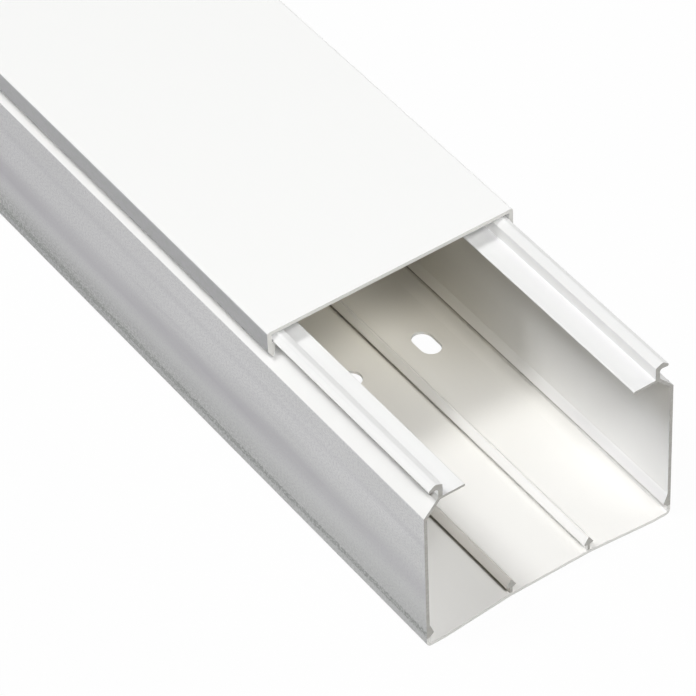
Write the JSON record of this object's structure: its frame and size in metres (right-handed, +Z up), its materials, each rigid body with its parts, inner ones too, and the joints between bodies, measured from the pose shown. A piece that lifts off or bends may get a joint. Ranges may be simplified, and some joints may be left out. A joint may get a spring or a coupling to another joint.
{
  "type": "cord cover raceway",
  "caption": "Open-topped PVC cable channel with hooked walls, retaining flanges, divider ribs and slotted floor, and a flat clip-on cover slid back from one end.",
  "frame": {"origin": "middle of the whole part's bounding box, on the plane its two feet rest on", "axes": "+X across the raceway, +Y along it from the uncovered end, +Z up from the wall face to the cover"},
  "size_m": [0.08, 1.0688, 0.06],
  "materials": {
    "base_pvc": "satin",
    "cover_pvc": "satin"
  },
  "bodies": {
    "channel": {"raceway_base": "base_pvc"},
    "cover": {"snap_cover": "cover_pvc"}
  },
  "joints": [
    {"name": "cover_slide", "type": "slide", "parent": "channel", "child": "cover", "axis": [0, 1, 0], "range_m": [-0.0688, 0.9312]}
  ]
}
